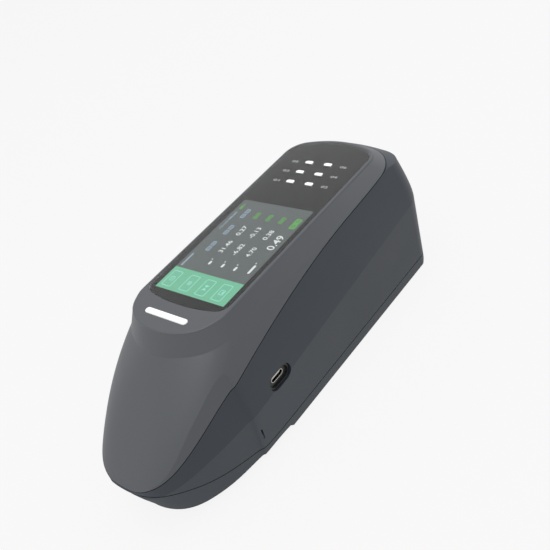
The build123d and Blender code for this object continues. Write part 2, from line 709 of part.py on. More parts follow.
# Measure key: bar, retaining flange and stem in one clear moulding
with BuildPart() as measure_key:
    with BuildSketch(Plane.XY.offset(flange_top)):
        with Locations((0, KEY_Y)):
            SlotOverall(KEY_LENGTH, KEY_WIDTH)
    extrude(amount=key_top - flange_top)
    fillet(measure_key.faces().sort_by(Axis.Z)[-1].edges(), KEY_EDGE_R)
    with BuildSketch(Plane.XY.offset(flange_under)):
        with Locations((0, KEY_Y)):
            Rectangle(KEY_FLANGE[0], KEY_FLANGE[1])
    extrude(amount=KEY_FLANGE[2])
    with BuildSketch(Plane.XY.offset(stem_end)):
        with Locations((0, KEY_Y)):
            Circle(KEY_STEM_R)
    extrude(amount=KEY_STEM)
finished.append(("measure_key", measure_key))

with BuildPart() as key_board:
    with BuildSketch(Plane.XY.offset(key_board_under)):
        with Locations((0, KEY_Y)):
            Rectangle(KEY_BOARD_SIZE[0], KEY_BOARD_SIZE[1])
    extrude(amount=KEY_BOARD_SIZE[2])
    with BuildSketch(Plane.XY.offset(key_board_top)):
        with Locations((10, KEY_Y), (-10, KEY_Y)):
            Rectangle(3.0, 1.6)
    extrude(amount=0.8)
finished.append(("key_board", key_board))

with BuildPart() as key_switch:
    with BuildSketch(Plane.XY.offset(key_board_top)):
        with Locations((0, KEY_Y)):
            Rectangle(SWITCH_SIZE[0], SWITCH_SIZE[1])
    extrude(amount=SWITCH_SIZE[2] - SWITCH_PLUNGER)
    with BuildSketch(Plane.XY.offset(switch_top - SWITCH_PLUNGER)):
        with Locations((0, KEY_Y)):
            Circle(KEY_STEM_R)
    extrude(amount=SWITCH_PLUNGER)
finished.append(("key_switch", key_switch))

# Status windows, six clear pins flush with the glass
with BuildPart() as status_windows:
    with BuildSketch(Plane.XY.offset(window_under)):
        with Locations(*status_spots):
            SlotOverall(*STATUS_SIZE)
    extrude(amount=STATUS_DEPTH)
finished.append(("status_windows", status_windows))

with BuildPart() as status_board:
    with BuildSketch(Plane.XY.offset(status_board_top - STATUS_BOARD_SIZE[2])):
        with Locations((0, STATUS_Y)):
            Rectangle(STATUS_BOARD_SIZE[0], STATUS_BOARD_SIZE[1])
    extrude(amount=STATUS_BOARD_SIZE[2])
    with BuildSketch(Plane.XY.offset(status_board_top)):
        with Locations(*status_spots):
            Rectangle(STATUS_LED_SIZE[0], STATUS_LED_SIZE[1])
    extrude(amount=STATUS_LED_SIZE[2])
finished.append(("status_board", status_board))

# Charging port: dished bezel, metal socket with its tongue, and a small board
with BuildPart() as usb_bezel:
    with BuildSketch(usb_plane.offset(BEZEL_OUT_X - BEZEL_THICK)):
        SlotOverall(USB_HOLE[0] - 2 * BEZEL_GAP, USB_HOLE[1] - 2 * BEZEL_GAP)
    extrude(amount=BEZEL_THICK)
    with BuildSketch(usb_plane.offset(BEZEL_OUT_X)):
        SlotOverall(*BEZEL_DISH)
    extrude(amount=-BEZEL_DISH_DEPTH, mode=Mode.SUBTRACT)
    with BuildSketch(usb_plane.offset(BEZEL_OUT_X - BEZEL_THICK)):
        SlotOverall(SOCKET_SIZE[0] + 2 * SOCKET_GAP, SOCKET_SIZE[1] + 2 * SOCKET_GAP)
    extrude(amount=BEZEL_THICK, mode=Mode.SUBTRACT)
finished.append(("usb_bezel", usb_bezel))

socket_front = BEZEL_OUT_X - BEZEL_DISH_DEPTH
with BuildPart() as usb_socket:
    with BuildSketch(usb_plane.offset(socket_front - SOCKET_LENGTH)):
        SlotOverall(*SOCKET_SIZE)
    extrude(amount=SOCKET_LENGTH)
    with BuildSketch(usb_plane.offset(socket_front)):
        SlotOverall(SOCKET_SIZE[0] - 2 * SOCKET_WALL, SOCKET_SIZE[1] - 2 * SOCKET_WALL)
    extrude(amount=1.0 - SOCKET_LENGTH, mode=Mode.SUBTRACT)
    with BuildSketch(usb_plane.offset(socket_front - SOCKET_LENGTH)):
        Rectangle(*TONGUE_SIZE)
    extrude(amount=SOCKET_LENGTH - 1.0)
finished.append(("usb_socket", usb_socket))

usb_board_top = USB_Z - SOCKET_SIZE[1] / 2
with BuildPart() as usb_board:
    with BuildSketch(Plane.XY.offset(usb_board_top - USB_BOARD_SIZE[2])):
        with Locations((BEZEL_OUT_X - BEZEL_THICK - BEZEL_GAP - USB_BOARD_SIZE[0] / 2, USB_Y)):
            Rectangle(USB_BOARD_SIZE[0], USB_BOARD_SIZE[1])
    extrude(amount=USB_BOARD_SIZE[2])
finished.append(("usb_board", usb_board))

# Power button on the left side, with its switch on the frame
with BuildPart() as power_button:
    with BuildSketch(power_plane.offset(POWER_IN_X)):
        Circle(POWER_R)
    extrude(amount=POWER_OUT_X - POWER_IN_X)
    fillet(power_button.faces().sort_by(Axis.X)[0].edges(), POWER_EDGE_R)
    with BuildSketch(power_plane.offset(POWER_FLANGE_X[1])):
        Circle(POWER_FLANGE_R)
    extrude(amount=POWER_FLANGE_X[0] - POWER_FLANGE_X[1])
finished.append(("power_button", power_button))

tab_thick = 2.0
with BuildPart() as power_switch:
    with BuildSketch(power_plane.offset(FRAME_HALF)):
        Rectangle(POWER_SWITCH_SIDE, POWER_SWITCH_SIDE)
    extrude(amount=POWER_IN_X - POWER_SWITCH_GAP - FRAME_HALF)
finished.append(("power_switch", power_switch))

# Inner frame: deck on four legs, board standoffs, switch tab and spectrometer pillars
frame_length = FRAME_Y[1] - FRAME_Y[0]
frame_mid = (FRAME_Y[0] + FRAME_Y[1]) / 2
with BuildPart() as inner_frame:
    with BuildSketch(Plane.XY.offset(FRAME_Z)):
        with Locations((0, frame_mid)):
            RectangleRounded(2 * FRAME_HALF, frame_length, 4.0)
        with Locations((0, frame_mid)):
            RectangleRounded(FRAME_HALF, frame_length / 2, 4.0, mode=Mode.SUBTRACT)
    extrude(amount=FRAME_THICK)
    with BuildSketch(Plane.XY.offset(FLOOR_TOP)):
        with Locations(*leg_spots):
            Circle(LEG_R)
    extrude(amount=FRAME_Z - FLOOR_TOP)
    with BuildSketch(Plane.XY.offset(frame_top)):
        with Locations(*standoff_spots):
            Circle(STANDOFF_R)
    extrude(amount=STANDOFF_HEIGHT)
    with BuildSketch(Plane.XY.offset(frame_top)):
        with Locations((PILLAR_X, PILLAR_Y), (-PILLAR_X, PILLAR_Y)):
            Circle(PILLAR_R)
    extrude(amount=SPECTRO_Z - frame_top)
    with BuildSketch(Plane.XY.offset(FRAME_Z)):
        with Locations((-FRAME_HALF + tab_thick / 2, POWER_Y)):
            Rectangle(tab_thick, 8.0)
    extrude(amount=POWER_Z + 4.0 - FRAME_Z)
    with BuildSketch(Plane.XY.offset(board_under)):
        with Locations(*standoff_spots):
            Circle(screw_hole_r)
    extrude(amount=-STANDOFF_HEIGHT - FRAME_THICK, mode=Mode.SUBTRACT)
finished.append(("inner_frame", inner_frame))

with BuildPart() as main_board:
    with BuildSketch(Plane.XY.offset(board_under)):
        with Locations((0, (BOARD_Y[0] + BOARD_Y[1]) / 2)):
            RectangleRounded(2 * BOARD_HALF, BOARD_Y[1] - BOARD_Y[0], 2.0)
        with Locations(*standoff_spots):
            Circle(screw_hole_r, mode=Mode.SUBTRACT)
    extrude(amount=BOARD_THICK)
finished.append(("main_board", main_board))

chips = ((0, 20, 14, 14, 1.4), (15, 38, 8, 12, 1.2), (-14, 40, 10, 10, 1.2), (12, 2, 6, 6, 1.0))
with BuildPart() as board_chips:
    for x, y, length, width, tall in chips:
        with BuildSketch(Plane.XY.offset(board_top)):
            with Locations((x, y)):
                Rectangle(length, width)
        extrude(amount=tall)
finished.append(("board_chips", board_chips))

with BuildPart() as radio_module:
    with BuildSketch(Plane.XY.offset(board_top)):
        with Locations(RADIO_AT):
            Rectangle(RADIO_SIZE[0], RADIO_SIZE[1])
    extrude(amount=RADIO_SIZE[2])
finished.append(("radio_module", radio_module))

with BuildPart() as buzzer:
    with BuildSketch(Plane.XY.offset(board_top)):
        with Locations(BUZZER_AT):
            Circle(BUZZER_R)
    extrude(amount=BUZZER_TALL)
    with BuildSketch(Plane.XY.offset(board_top + BUZZER_TALL)):
        with Locations(BUZZER_AT):
            Circle(BUZZER_HOLE_R)
    extrude(amount=-BUZZER_HOLE_DEPTH, mode=Mode.SUBTRACT)
finished.append(("buzzer", buzzer))

# Flat cable from the display module down to its socket on the main board
cable_y = DISPLAY_Y + MODULE_SIZE[1] / 2 - CABLE_FROM_END
plug_top = board_top + CABLE_PLUG[2]
with BuildPart() as display_cable:
    with BuildSketch(Plane.XY.offset(board_top)):
        with Locations((0, cable_y)):
            Rectangle(CABLE_PLUG[0], CABLE_PLUG[1])
    extrude(amount=CABLE_PLUG[2])
    with BuildSketch(Plane.XY.offset(plug_top)):
        with Locations((0, cable_y)):
            Rectangle(CABLE_WIDTH, CABLE_THICK)
    extrude(amount=module_under - plug_top)
finished.append(("display_cable", display_cable))

# Battery on the hatch, with its protection board on top
with BuildPart() as battery_hatch:
    with BuildSketch(Plane.XY.offset(FOOT_PROUD)):
        with Locations((0, HATCH_Y)):
            Rectangle(HATCH_SIZE[0] - 2 * HATCH_GAP, HATCH_SIZE[1] - 2 * HATCH_GAP)
    extrude(amount=HATCH_FLANGE)
    hole_size = [size - 2 * HATCH_LEDGE - 2 * HATCH_GAP for size in HATCH_SIZE]
    with BuildSketch(Plane.XY.offset(FOOT_PROUD + HATCH_FLANGE)):
        with Locations((0, HATCH_Y)):
            Rectangle(*hole_size)
    extrude(amount=WALL - HATCH_FLANGE)
    with BuildSketch(Plane.XY.offset(FOOT_PROUD)):
        with Locations((0, HATCH_Y + HATCH_SIZE[1] / 2 - 10.0)):
            SlotOverall(18.0, 5.0)
    extrude(amount=0.6, mode=Mode.SUBTRACT)
finished.append(("battery_hatch", battery_hatch))

with BuildPart() as battery_pack:
    with BuildSketch(Plane.XY.offset(FLOOR_TOP)):
        with Locations((0, HATCH_Y)):
            RectangleRounded(BATTERY_SIZE[0], BATTERY_SIZE[1], 4.0)
    extrude(amount=BATTERY_SIZE[2])
finished.append(("battery_pack", battery_pack))

with BuildPart() as battery_board:
    with BuildSketch(Plane.XY.offset(battery_top)):
        with Locations((0, HATCH_Y - 20.0)):
            Rectangle(30.0, 14.0)
    extrude(amount=1.2)
finished.append(("battery_board", battery_board))

# Measuring head: port ring, two sphere halves, lamps, viewing barrel
with BuildPart() as port_ring:
    with BuildSketch():
        with Locations((0, PORT_Y)):
            Circle(PORT_RING_R)
            Circle(PORT_R, mode=Mode.SUBTRACT)
    extrude(amount=PORT_RING_TOP)
    chamfer(port_ring.edges().filter_by(GeomType.CIRCLE).group_by(Axis.Z)[0].sort_by(SortBy.RADIUS)[-1], 1.0)
finished.append(("port_ring", port_ring))

with BuildPart() as sphere_lower:
    with BuildSketch(Plane.XY.offset(sphere_bottom)):
        with Locations((0, PORT_Y)):
            Circle(SPHERE_BLOCK_R)
    extrude(amount=sphere_middle - sphere_bottom)
    with Locations((0, PORT_Y, sphere_middle)):
        Sphere(SPHERE_R, mode=Mode.SUBTRACT)
    with BuildSketch(Plane.XY.offset(sphere_bottom)):
        with Locations((0, PORT_Y)):
            Circle(SPHERE_PORT_R)
    extrude(amount=SPHERE_R, mode=Mode.SUBTRACT)
finished.append(("sphere_lower", sphere_lower))

lamp_spots = [
    (
        LAMP_RING_R * math.cos(math.tau * (i + 0.5) / LAMP_COUNT),
        PORT_Y + LAMP_RING_R * math.sin(math.tau * (i + 0.5) / LAMP_COUNT),
    )
    for i in range(LAMP_COUNT)
]
with BuildPart() as sphere_upper:
    with BuildSketch(Plane.XY.offset(sphere_middle)):
        with Locations((0, PORT_Y)):
            Circle(SPHERE_BLOCK_R)
    extrude(amount=SPHERE_TOP - sphere_middle)
    with Locations((0, PORT_Y, sphere_middle)):
        Sphere(SPHERE_R, mode=Mode.SUBTRACT)
    with BuildSketch(view_plane):
        Circle(VIEW_R)
    extrude(amount=HEIGHT, mode=Mode.SUBTRACT)
    with BuildSketch(Plane.XY.offset(SPHERE_TOP)):
        with Locations(*lamp_spots):
            Circle(LAMP_R + SCREW_GAP)
    extrude(amount=-LAMP_DEPTH, mode=Mode.SUBTRACT)
finished.append(("sphere_upper", sphere_upper))

with BuildPart() as lamp_leds:
    with BuildSketch(Plane.XY.offset(SPHERE_TOP)):
        with Locations(*lamp_spots):
            Circle(LAMP_R)
    extrude(amount=-LAMP_DEPTH + BOND)
finished.append(("lamp_leds", lamp_leds))

barrel_y = PORT_Y + lamp_board_top * math.tan(view_axis)
with BuildPart() as lamp_board:
    with BuildSketch(Plane.XY.offset(SPHERE_TOP)):
        with Locations((0, PORT_Y)):
            Circle(SPHERE_BLOCK_R - 2.0)
        with Locations((0, barrel_y)):
            Circle(BARREL_R + 0.6, mode=Mode.SUBTRACT)
    extrude(amount=LAMP_BOARD_THICK)
finished.append(("lamp_board", lamp_board))

with BuildPart() as lens_barrel:
    with BuildSketch(view_plane):
        Circle(BARREL_R)
        Circle(VIEW_R, mode=Mode.SUBTRACT)
    extrude(amount=HEIGHT)
    split(bisect_by=Plane.XY.offset(SPHERE_TOP), keep=Keep.TOP)
    split(bisect_by=Plane.XY.offset(SPECTRO_Z), keep=Keep.BOTTOM)
finished.append(("lens_barrel", lens_barrel))

lens_at = (SPHERE_TOP + SPECTRO_Z) / 2 / math.cos(view_axis)
with BuildPart() as view_lens:
    with BuildSketch(view_plane.offset(lens_at)):
        Circle(VIEW_R - SCREW_GAP)
    extrude(amount=2.0)
finished.append(("view_lens", view_lens))

# Spectrometer above the sphere: box, lid, slit, grating and sensor board
entry_y = PORT_Y + SPECTRO_Z * math.tan(view_axis)
box_inside = [size - 2 * SPECTRO_WALL for size in SPECTRO_SIZE]
with BuildPart() as spectro_box:
    with BuildSketch(Plane.XY.offset(SPECTRO_Z)):
        with Locations((0, SPECTRO_Y)):
            Rectangle(SPECTRO_SIZE[0], SPECTRO_SIZE[1])
    extrude(amount=SPECTRO_SIZE[2] - SPECTRO_WALL)
    with BuildSketch(Plane.XY.offset(SPECTRO_Z + SPECTRO_WALL)):
        with Locations((0, SPECTRO_Y)):
            Rectangle(box_inside[0], box_inside[1])
    extrude(amount=SPECTRO_SIZE[2], mode=Mode.SUBTRACT)
    with BuildSketch(Plane.XY.offset(SPECTRO_Z)):
        with Locations((0, entry_y)):
            Circle(VIEW_R)
    extrude(amount=SPECTRO_WALL, mode=Mode.SUBTRACT)
finished.append(("spectro_box", spectro_box))

with BuildPart() as spectro_lid:
    with BuildSketch(Plane.XY.offset(spectro_top - SPECTRO_WALL)):
        with Locations((0, SPECTRO_Y)):
            Rectangle(SPECTRO_SIZE[0], SPECTRO_SIZE[1])
    extrude(amount=SPECTRO_WALL)
finished.append(("spectro_lid", spectro_lid))

slit_y = entry_y + VIEW_R + 1.5
with BuildPart() as entrance_slit:
    with BuildSketch(Plane.XY.offset(SPECTRO_Z + SPECTRO_WALL)):
        with Locations((0, slit_y)):
            Rectangle(16.0, 1.0)
    extrude(amount=7.0)
    with BuildSketch(Plane.XY.offset(SPECTRO_Z + SPECTRO_WALL + 2.0)):
        with Locations((0, slit_y)):
            Rectangle(0.4, 2.0)
    extrude(amount=3.0, mode=Mode.SUBTRACT)
finished.append(("entrance_slit", entrance_slit))

grating_y = SPECTRO_Y + box_inside[1] / 2 - 4.0
with BuildPart() as grating:
    with BuildSketch(Plane.XY.offset(SPECTRO_Z + SPECTRO_WALL)):
        with Locations((GRATING_X, grating_y)):
            Rectangle(GRATING_SIZE[0], GRATING_SIZE[1], rotation=GRATING_TURN)
    extrude(amount=GRATING_SIZE[2])
finished.append(("grating", grating))

sensor_board_x = SENSOR_BOARD_IN - box_inside[0] / 2
sensor_x = sensor_board_x + (SENSOR_BOARD_SIZE[0] + SENSOR_SIZE[0]) / 2
with BuildPart() as sensor_board:
    with BuildSketch(Plane.XY.offset(SPECTRO_Z + SPECTRO_WALL)):
        with Locations((sensor_board_x, SPECTRO_Y)):
            Rectangle(SENSOR_BOARD_SIZE[0], SENSOR_BOARD_SIZE[1])
        with Locations((sensor_x, SPECTRO_Y)):
            Rectangle(*SENSOR_SIZE)
    extrude(amount=SENSOR_BOARD_SIZE[2])
finished.append(("sensor_board", sensor_board))


def screws(spots, head_under, length):
    """Pan head screws pointing up, heads at head_under, as one node."""
    with BuildPart() as made:
        with BuildSketch(Plane.XY.offset(head_under)):
            with Locations(*spots):
                Circle(SCREW_HEAD_R)
        extrude(amount=SCREW_HEAD)
        with BuildSketch(Plane.XY.offset(head_under + SCREW_HEAD)):
            with Locations(*spots):
                Circle(SCREW_R)
        extrude(amount=length)
        with BuildSketch(Plane.XY.offset(head_under)):
            with Locations(*spots):
                RegularPolygon(1.2, 6)
        extrude(amount=0.9, mode=Mode.SUBTRACT)
    return made


finished.append(("cover_screws", screws(cover_spots, FOOT_PROUD + WALL, 12.0)))
for name, (x, y, z) in zip(("rear_shell_screws", "nose_shell_screws"), SHELL_BOSSES):
    spots = both_sides([(x, y)])
    finished.append((name, screws(spots, z - LUG_THICK - SCREW_HEAD, LUG_THICK + 6.0)))

with BuildPart() as board_screws:
    with BuildSketch(Plane.XY.offset(board_top)):
        with Locations(*standoff_spots):
            Circle(SCREW_HEAD_R)
    extrude(amount=SCREW_HEAD)
    with BuildSketch(Plane.XY.offset(board_top)):
        with Locations(*standoff_spots):
            Circle(SCREW_R)
    extrude(amount=-BOARD_THICK - STANDOFF_HEIGHT)
finished.append(("board_screws", board_screws))

with BuildPart() as rubber_feet:
    with BuildSketch():
        with Locations(*both_sides([(FOOT_X, y) for y in FOOT_Y])):
            Circle(FOOT_R)
    extrude(amount=FOOT_THICK)
finished.append(("rubber_feet", rubber_feet))

for name, piece in finished:
    piece.part.label = name
    export_step(piece.part, f"parts/{name}.step")
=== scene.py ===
"""Looks of a handheld spectrophotometer: moulded housing, cover glass, lit display and studio."""

import math

import bpy
import bmesh
from mathutils import Matrix, Vector


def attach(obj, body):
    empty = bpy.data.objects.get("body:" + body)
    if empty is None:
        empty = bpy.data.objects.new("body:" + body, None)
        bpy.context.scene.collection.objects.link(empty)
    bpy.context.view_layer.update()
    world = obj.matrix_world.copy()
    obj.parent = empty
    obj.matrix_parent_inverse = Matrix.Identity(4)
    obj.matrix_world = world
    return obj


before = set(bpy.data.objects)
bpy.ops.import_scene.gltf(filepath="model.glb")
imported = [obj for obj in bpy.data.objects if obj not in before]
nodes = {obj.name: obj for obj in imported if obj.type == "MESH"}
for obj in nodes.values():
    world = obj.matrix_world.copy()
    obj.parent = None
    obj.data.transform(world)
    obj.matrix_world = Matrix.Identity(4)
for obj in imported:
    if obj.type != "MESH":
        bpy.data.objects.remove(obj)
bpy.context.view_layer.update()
MM = 0.001
PER_METRE = 1000.0

# Surfaces: how far the gloss wanders, how strongly grain and polish show, and in mm the
# depth of the polish's waves and the size of the display's faint clouds
GLOSS_SPREAD = 0.06
GRAIN_STRENGTH = 0.6
POLISH_STRENGTH = 0.1
POLISH_DEPTH = 0.002
GLOW_CLOUD = 28.0

# Places of the display in millimetres, as the housing holds it
DISPLAY_MID_Y = 3.65
DISPLAY_WIDE = 48.96
DISPLAY_LONG = 73.44
MODULE_TOP = 82.7
GLASS_UNDER = 82.8

# Thin layers between the module and the glass: print, numbers and the three of the image
LAYER = 0.012
NUMBER_LAYER = 0.008
PRINT_LOW = GLASS_UNDER - 0.03
NUMBER_LOW = GLASS_UNDER - 0.014
IMAGE_LOW = MODULE_TOP + 0.004
STRIP_LOW = IMAGE_LOW + 0.014
FIGURE_LOW = IMAGE_LOW + 0.028

# The font's own units: half the depth of a figure, and how far its strokes are thickened
FIGURE_HALF_DEPTH = 0.01
BOLD = 0.012

# Cover glass outline, drawn in a little so that the print stops short of the edge
GLASS_HALF = 28.2
GLASS_FRONT = (-40.15, 110.0, 7.0)
GLASS_REAR = (98.45, 60.0, 10.0)
PRINT_INSET = 0.35
WINDOW_CLEAR = 0.1
NEARLY_SHARP = 0.1
LEAST_RADIUS = 0.05

# Plain blocks in the place of words: their line, their corners, and the bar in each as
# shares of its length and height
BLOCK_LINE = 0.5
BLOCK_CORNER = 0.35
BLOCK_BAR = (0.45, 0.16)

# Points nearer than this, in metres, are one point
SAME_POINT = 1e-7

# Status windows in the glass
STATUS_X = 6.6
STATUS_ROWS = (60.25, 69.35, 78.45)
STATUS_SIZE = (5.4, 2.5)
STATUS_CLEAR = 0.12
STATUS_MARK_OUT = 10.4
STATUS_MARK_TALL = 1.9
STATUS_MARK_WIDE = 4.4


def linear(colour):
    """An sRGB hex colour, such as '5e6065', as linear RGBA."""
    parts = [int(colour[at : at + 2], 16) / 255 for at in (0, 2, 4)]
    made = [p / 12.92 if p <= 0.04045 else ((p + 0.055) / 1.055) ** 2.4 for p in parts]
    return (*made, 1.0)


def lay(tree, kind, values=None, wires=None, **settings):
    """Adds one node with its settings, its socket values and what is wired into it."""
    made = tree.nodes.new(kind)
    for name, value in settings.items():
        setattr(made, name, value)
    for name, value in (values or {}).items():
        made.inputs[name].default_value = value
    for name, source in (wires or {}).items():
        tree.links.new(source, made.inputs[name])
    return made


def fresh_material(name):
    """An empty node material and its tree."""
    made = bpy.data.materials.new(name)
    made.use_nodes = True
    made.node_tree.nodes.clear()
    return made, made.node_tree


def finish(name, colour, roughness, grain, relief, **surface):
    """A solid material with mottled colour, uneven gloss and a surface grain.

    grain is the grain's size and relief its depth, both in millimetres. second is the
    other colour of the mottling and patch its size. stretch draws the grain out along
    an axis, as brushing and turning do. The rest goes to the shader's own sockets.
    """
    second = surface.pop("second")
    patch = surface.pop("patch")
    stretch = surface.pop("stretch", (1.0, 1.0, 1.0))
    made, tree = fresh_material(name)
    place = lay(tree, "ShaderNodeTexCoord")
    along = lay(
        tree,
        "ShaderNodeMapping",
        {"Scale": stretch},
        {"Vector": place.outputs["Object"]},
    )
    mottle = lay(
        tree,
        "ShaderNodeTexNoise",
        {"Scale": PER_METRE / patch, "Detail": 3.0, "Roughness": 0.55},
        {"Vector": place.outputs["Object"]},
    )
    fine = lay(
        tree,
        "ShaderNodeTexNoise",
        {"Scale": PER_METRE / grain, "Detail": 2.0, "Roughness": 0.6},
        {"Vector": along.outputs["Vector"]},
    )
    tone = lay(
        tree,
        "ShaderNodeMix",
        {6: linear(colour), 7: linear(second)},
        {0: mottle.outputs["Fac"]},
        data_type="RGBA",
    )
    gloss = lay(
        tree,
        "ShaderNodeMapRange",
        {"To Min": roughness - GLOSS_SPREAD, "To Max": roughness + GLOSS_SPREAD},
        {"Value": mottle.outputs["Fac"]},
    )
    bump = lay(
        tree,
        "ShaderNodeBump",
        {"Strength": GRAIN_STRENGTH, "Distance": relief * MM},
        {"Height": fine.outputs["Fac"]},
    )
    shader = lay(
        tree,
        "ShaderNodeBsdfPrincipled",
        surface,
        {
            "Base Color": tone.outputs[2],
            "Roughness": gloss.outputs["Result"],
            "Normal": bump.outputs["Normal"],
        },
    )
    lay(tree, "ShaderNodeOutputMaterial", wires={"Surface": shader.outputs["BSDF"]})
    return made


# Satin ABS from a spark-eroded tool, whose fine even grain breaks up reflections
satin_grey_abs = finish(
    "satin_grey_abs", "515459", 0.46, 0.45, 0.012, second="55585d", patch=30.0, IOR=1.53
)
# The lower mouldings are the same ABS in a darker, bluer shade
satin_slate_abs = finish(
    "satin_slate_abs", "222b35", 0.48, 0.45, 0.012, second="262f39", patch=30.0, IOR=1.53
)
# Black ABS of the small mouldings, polished a little by fingers and plugs
black_abs = finish(
    "black_abs", "17181a", 0.38, 0.35, 0.008, second="1c1d20", patch=6.0, IOR=1.53
)
# Opal acrylic spreads the light of the lamps under it into an even white
opal_acrylic = finish(
    "opal_acrylic",
    "f1f2f4",
    0.25,
    0.3,
    0.003,
    second="f6f7f8",
    patch=5.0,
    **{"IOR": 1.49, "Emission Color": linear("ffffff"), "Emission Strength": 0.28}
)
# Glass filled nylon is dull, with short fibres near the skin
glass_filled_nylon = finish(
    "glass_filled_nylon", "222326", 0.62, 0.8, 0.02, second="2c2d30", patch=2.5, IOR=1.53
)
# Glossy solder mask over glass cloth, whose weave shows faintly
solder_mask_board = finish(
    "solder_mask_board", "14522f", 0.35, 0.9, 0.01, second="1b6239", patch=1.6, IOR=1.55
)
# Black moulding compound of switches and chips
moulded_epoxy = finish(
    "moulded_epoxy", "1b1b1c", 0.58, 0.3, 0.01, second="232324", patch=2.0, IOR=1.55
)
# Bright nickel on drawn steel, with a slight draw direction along its length
nickel_plated_steel = finish(
    "nickel_plated_steel",
    "b9b7b1",
    0.24,
    0.12,
    0.003,
    second="c4c2bc",
    patch=3.0,
    stretch=(0.1, 1.0, 1.0),
    Metallic=1.0,
)
# Tinned sheet of the radio's can, duller than nickel
tinned_sheet = finish(
    "tinned_sheet",
    "aeb0b2",
    0.36,
    0.2,
    0.004,
    second="bcbec0",
    patch=4.0,
    stretch=(1.0, 0.1, 1.0),
    Metallic=1.0,
)
# Amber polyimide film over copper
polyimide_flex = finish(
    "polyimide_flex", "b0701c", 0.32, 0.5, 0.006, second="bd7d26", patch=3.0, IOR=1.6
)
# Heat shrink PVC, drawn tight and slightly rippled over the cells
heat_shrink_pvc = finish(
    "heat_shrink_pvc", "24558f", 0.3, 2.2, 0.05, second="2a5e9b", patch=8.0, IOR=1.54
)
# Bead blasted and black anodised aluminium with turning marks left faint
black_anodised_aluminium = finish(
    "black_anodised_aluminium",
    "26272a",
    0.42,
    0.16,
    0.006,
    second="2d2e31",
    patch=4.0,
    stretch=(1.0, 1.0, 0.2),
    Metallic=0.6,
)
# Sintered PTFE, the matt white of an integrating sphere
sintered_ptfe = finish(
    "sintered_ptfe", "f0f0ee", 0.92, 0.5, 0.01, second="f5f5f3", patch=4.0, IOR=1.38
)
# Zinc plated steel with a pale film
zinc_plated_steel = finish(
    "zinc_plated_steel",
    "a9a9a2",
    0.34,
    0.18,
    0.004,
    second="b9b8ae",
    patch=1.5,
    Metallic=1.0,
)
# Compression moulded rubber, dull and faintly bloomed
moulded_rubber = finish(
    "moulded_rubber", "1d1d1e", 0.82, 0.4, 0.02, second="28282a", patch=3.0, IOR=1.52
)
# Black screen print on the back of the glass, seen through it with no gloss of its own
screen_print_black = finish(
    "screen_print_black",
    "0b0b0c",
    0.6,
    0.3,
    0.001,
    second="0e0e0f",
    patch=8.0,
    **{"Specular IOR Level": 0.0}
)
# Grey screen print of the small numbers
screen_print_grey = finish(
    "screen_print_grey", "b4b6b8", 0.6, 0.3, 0.001, second="bcbec0", patch=4.0, IOR=1.5
)


def clear_body(name, colour, roughness, ior, ripple):
    """A clear polished material; ripple is the size of its slight unevenness in mm."""
    made, tree = fresh_material(name)
    place = lay(tree, "ShaderNodeTexCoord")
    wave = lay(
        tree,
        "ShaderNodeTexNoise",
        {"Scale": PER_METRE / ripple, "Detail": 1.0},
        {"Vector": place.outputs["Object"]},
    )
    bump = lay(
        tree,
        "ShaderNodeBump",
        {"Strength": POLISH_STRENGTH, "Distance": POLISH_DEPTH * MM},
        {"Height": wave.outputs["Fac"]},
    )
    shader = lay(
        tree,
        "ShaderNodeBsdfPrincipled",
        {
            "Base Color": linear(colour),
            "Roughness": roughness,
            "IOR": ior,
            "Transmission Weight": 1.0,
        },
        {"Normal": bump.outputs["Normal"]},
    )
    lay(tree, "ShaderNodeOutputMaterial", wires={"Surface": shader.outputs["BSDF"]})
    return made


# Toughened cover glass, polished flat; its antireflection coat is given by a lower index
cover_glass = clear_body("toughened_cover_glass", "fafcfb", 0.02, 1.29, 25.0)
# Coated optical glass of the lens and the grating blank
optical_glass = clear_body("coated_optical_glass", "f4f8ff", 0.01, 1.52, 6.0)
# Clear cast epoxy of the lamps
cast_epoxy = clear_body("clear_cast_epoxy", "fff9e8", 0.05, 1.54, 2.0)


def lit(name, colour, second=None):
    """Light of the display's image: a glow with the panel's faint unevenness."""
    made, tree = fresh_material(name)
    place = lay(tree, "ShaderNodeTexCoord")
    cloud = lay(
        tree,
        "ShaderNodeTexNoise",
        {"Scale": PER_METRE / GLOW_CLOUD, "Detail": 1.0},
        {"Vector": place.outputs["Object"]},
    )
    glow = lay(
        tree,
        "ShaderNodeMix",
        {6: linear(colour), 7: linear(second or colour)},
        {0: cloud.outputs["Fac"]},
        data_type="RGBA",
    )
    shader = lay(
        tree,
        "ShaderNodeBsdfPrincipled",
        {
            "Base Color": linear("0c0c0c"),
            "Roughness": 0.5,
            "Emission Strength": 1.0,
            "Specular IOR Level": 0.0,
        },
        {"Emission Color": glow.outputs[2]},
    )
    lay(tree, "ShaderNodeOutputMaterial", wires={"Surface": shader.outputs["BSDF"]})
    return made


# Light of the liquid crystal panel, in the colours of its image
lit_ground = lit("lit_ground", "585f5f", "5c6263")
lit_strip = lit("lit_green_strip", "6cbc96", "76bf9e")
lit_outline = lit("lit_pale_outline", "9ae2d3")
lit_white = lit("lit_white_figures", "e2e6e6")
lit_blue = lit("lit_pale_blue", "9db4c8")
lit_green = lit("lit_green_result", "55aa38")
lit_leaf = lit("lit_bright_green_result", "5fd636")

